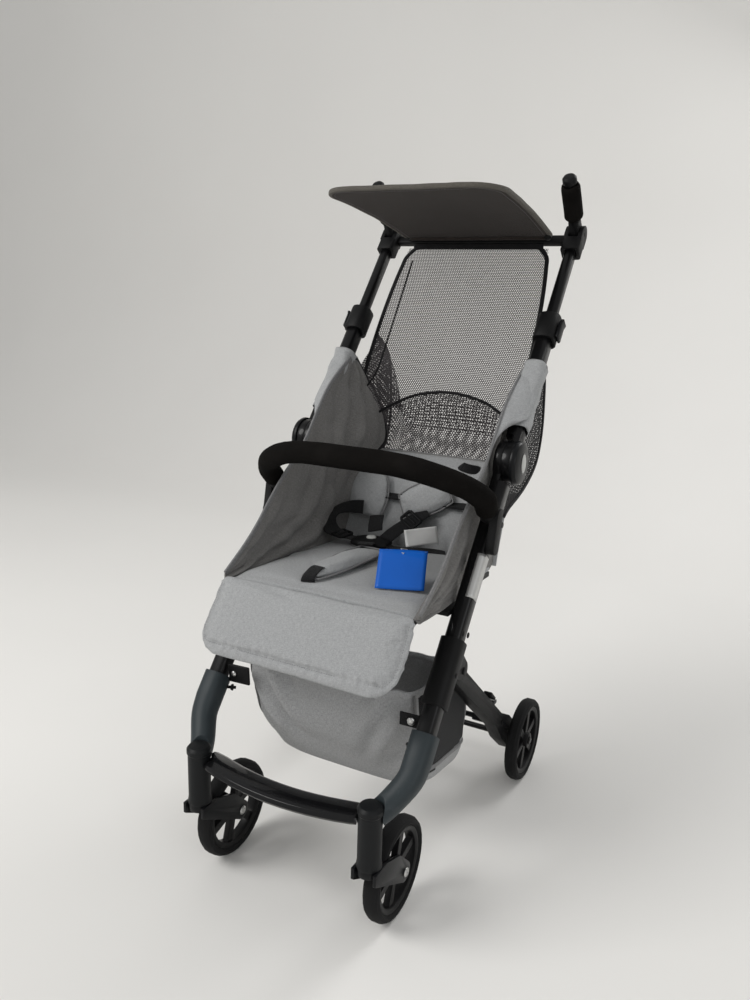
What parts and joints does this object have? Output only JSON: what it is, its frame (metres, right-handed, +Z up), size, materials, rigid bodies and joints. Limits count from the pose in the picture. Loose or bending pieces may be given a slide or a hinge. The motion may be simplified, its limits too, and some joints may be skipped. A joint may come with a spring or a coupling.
{
  "type": "stroller",
  "caption": "Compact folding stroller with telescoping handle, flat sun canopy, net back, foam bumper bar, swivelling front wheels and underseat basket.",
  "frame": {"origin": "middle of the ground outline: on the floor, half way along the overall length and on the centre line", "axes": "+Z up, -Y is the way the stroller faces, +X to the picture's right across the seat"},
  "size_m": [0.3838, 0.6399, 1.0018],
  "materials": {
    "black_metal": "matte black powder coat",
    "black_plastic": "fine-grained black moulding",
    "satin_black": "satin black moulding with a cool sheen",
    "charcoal_plastic": "charcoal moulding",
    "slate_plastic": "slate grey moulding",
    "gloss_black": "glossy black moulding",
    "wheel_plastic": "black moulding",
    "tyre_rubber": "smooth matte tread",
    "plated_steel": "bright zinc plating",
    "black_foam": "closed-cell foam, dull and slightly pebbled",
    "light_grey_cloth": "light grey melange weave",
    "grey_cloth": "mid grey melange weave",
    "brown_grey_cloth": "dark brown-grey woven cloth with a grey binding",
    "lilac_grey_net": "lilac-grey open net with a black binding",
    "pale_plastic": "pale glossy cap"
  },
  "bodies": {
    "frame": {"leg_tube_left": "black_metal", "leg_tube_right": "black_metal", "leg_sleeve_left": "black_plastic", "leg_sleeve_right": "black_plastic", "leg_moulding_left": "slate_plastic", "leg_moulding_right": "slate_plastic", "caster_head_left": "charcoal_plastic", "caster_head_right": "charcoal_plastic", "side_wing_left": "grey_cloth", "side_wing_right": "grey_cloth", "shoulder_pad_left": "light_grey_cloth", "shoulder_pad_right": "light_grey_cloth", "footrest_bar": "gloss_black", "seat_board": "black_plastic", "seat_pad": "light_grey_cloth", "basket": "grey_cloth", "crotch_pad": "light_grey_cloth", "buckle": "black_plastic"},
    "buckle_button": {"buckle_button": "pale_plastic"},
    "calf_rest": {"calf_rest": "light_grey_cloth"},
    "upper_frame": {"rail_left": "black_metal", "rail_right": "black_metal", "clamp_left": "black_plastic", "clamp_right": "black_plastic", "hub_cover_left": "satin_black", "hub_cover_right": "satin_black", "back_shell": "lilac_grey_net", "back_net": "lilac_grey_net"},
    "handle": {"stem_left": "black_metal", "stem_right": "black_metal", "handle_joint_left": "black_plastic", "handle_joint_right": "black_plastic", "handle_bridge": "black_plastic", "canopy_rod": "black_metal"},
    "canopy": {"canopy": "brown_grey_cloth"},
    "bumper_ends": {"bumper_end_left": "black_plastic", "bumper_end_right": "black_plastic"},
    "bumper": {"bumper_bar": "black_foam"},
    "rear_legs": {"rear_leg_left": "black_plastic", "rear_leg_right": "black_plastic", "rear_axle": "plated_steel"},
    "brake": {"brake_bar": "satin_black"},
    "clamp_lever_left": {"clamp_lever_left": "satin_black"},
    "grip_left": {"grip_core_left": "black_plastic", "grip_foam_left": "black_foam"},
    "caster_left": {"caster_fork_left": "satin_black", "front_axle_left": "plated_steel"},
    "front_wheel_left": {"front_wheel_left": "wheel_plastic", "front_tyre_left": "tyre_rubber"},
    "rear_wheel_left": {"rear_wheel_left": "wheel_plastic", "rear_tyre_left": "tyre_rubber"},
    "clamp_lever_right": {"clamp_lever_right": "satin_black"},
    "grip_right": {"grip_core_right": "black_plastic", "grip_foam_right": "black_foam"},
    "caster_right": {"caster_fork_right": "satin_black", "front_axle_right": "plated_steel"},
    "front_wheel_right": {"front_wheel_right": "wheel_plastic", "front_tyre_right": "tyre_rubber"},
    "rear_wheel_right": {"rear_wheel_right": "wheel_plastic", "rear_tyre_right": "tyre_rubber"}
  },
  "joints": [
    {"name": "fold", "type": "hinge", "parent": "frame", "child": "upper_frame", "pos_m": [0, 0.0431, 0.584], "axis": [1, 0, 0], "range_deg": [0, 140], "deforming": ["side_wing_left", "side_wing_right"]},
    {"name": "rear_leg_swing", "type": "hinge", "parent": "frame", "child": "rear_legs", "pos_m": [0, -0.10798, 0.32094], "axis": [1, 0, 0], "range_deg": [0, 76]},
    {"name": "bumper_swing", "type": "hinge", "parent": "frame", "child": "bumper_ends", "pos_m": [0, -0.0299, 0.51], "axis": [1, 0, 0], "range_deg": [0, 50]},
    {"name": "bumper_pull", "type": "slide", "parent": "bumper_ends", "child": "bumper", "axis": [0, -0.6691, 0.7431], "range_m": [0, 0.035]},
    {"name": "calf_rest_lift", "type": "hinge", "parent": "frame", "child": "calf_rest", "pos_m": [0, -0.2142, 0.4207], "axis": [1, 0, 0], "range_deg": [-50, 0]},
    {"name": "buckle_press", "type": "slide", "parent": "frame", "child": "buckle_button", "axis": [0, 0, -1], "range_m": [0, 0.0016], "stiffness_N_per_m": 600, "springref_m": -0.001},
    {"name": "handle_slide", "type": "slide", "parent": "upper_frame", "child": "handle", "axis": [0, 0.6211, 0.7837], "range_m": [-0.125, 0], "deforming": ["back_net"]},
    {"name": "canopy_swing", "type": "hinge", "parent": "handle", "child": "canopy", "pos_m": [0, 0.29235, 0.91344], "axis": [1, 0, 0], "range_deg": [0, 58]},
    {"name": "brake_press", "type": "hinge", "parent": "rear_legs", "child": "brake", "pos_m": [0, 0.12279, 0.12924], "axis": [1, 0, 0], "range_deg": [0, 20]},
    {"name": "clamp_lever_swing_left", "type": "hinge", "parent": "upper_frame", "child": "clamp_lever_left", "pos_m": [-0.186, 0.17913, 0.75563], "axis": [0, -0.7837, 0.6211], "range_deg": [0, 75]},
    {"name": "grip_turn_left", "type": "hinge", "parent": "handle", "child": "grip_left", "pos_m": [-0.166, 0.30647, 0.91629], "axis": [1, 0, 0], "range_deg": [-70, 30]},
    {"name": "caster_swivel_left", "type": "hinge", "parent": "frame", "child": "caster_left", "pos_m": [-0.134, -0.2899, 0.1215], "axis": [0, 0, 1], "continuous": true},
    {"name": "front_wheel_spin_left", "type": "hinge", "parent": "caster_left", "child": "front_wheel_left", "pos_m": [-0.134, -0.2179, 0.07], "axis": [1, 0, 0], "continuous": true},
    {"name": "rear_wheel_spin_left", "type": "hinge", "parent": "rear_legs", "child": "rear_wheel_left", "pos_m": [-0.177, 0.1941, 0.07], "axis": [1, 0, 0], "continuous": true},
    {"name": "clamp_lever_swing_right", "type": "hinge", "parent": "upper_frame", "child": "clamp_lever_right", "pos_m": [0.186, 0.17913, 0.75563], "axis": [0, 0.7837, -0.6211], "range_deg": [0, 75]},
    {"name": "grip_turn_right", "type": "hinge", "parent": "handle", "child": "grip_right", "pos_m": [0.166, 0.30647, 0.91629], "axis": [1, 0, 0], "range_deg": [-70, 30]},
    {"name": "caster_swivel_right", "type": "hinge", "parent": "frame", "child": "caster_right", "pos_m": [0.134, -0.2899, 0.1215], "axis": [0, 0, 1], "continuous": true},
    {"name": "front_wheel_spin_right", "type": "hinge", "parent": "caster_right", "child": "front_wheel_right", "pos_m": [0.134, -0.2179, 0.07], "axis": [1, 0, 0], "continuous": true},
    {"name": "rear_wheel_spin_right", "type": "hinge", "parent": "rear_legs", "child": "rear_wheel_right", "pos_m": [0.177, 0.1941, 0.07], "axis": [1, 0, 0], "continuous": true}
  ],
  "couplings": [
    {"joint": "rear_leg_swing", "follows": "fold", "ratio": 0.5428},
    {"joint": "bumper_swing", "follows": "fold", "ratio": 0.357},
    {"joint": "canopy_swing", "follows": "fold", "ratio": 0.414}
  ]
}
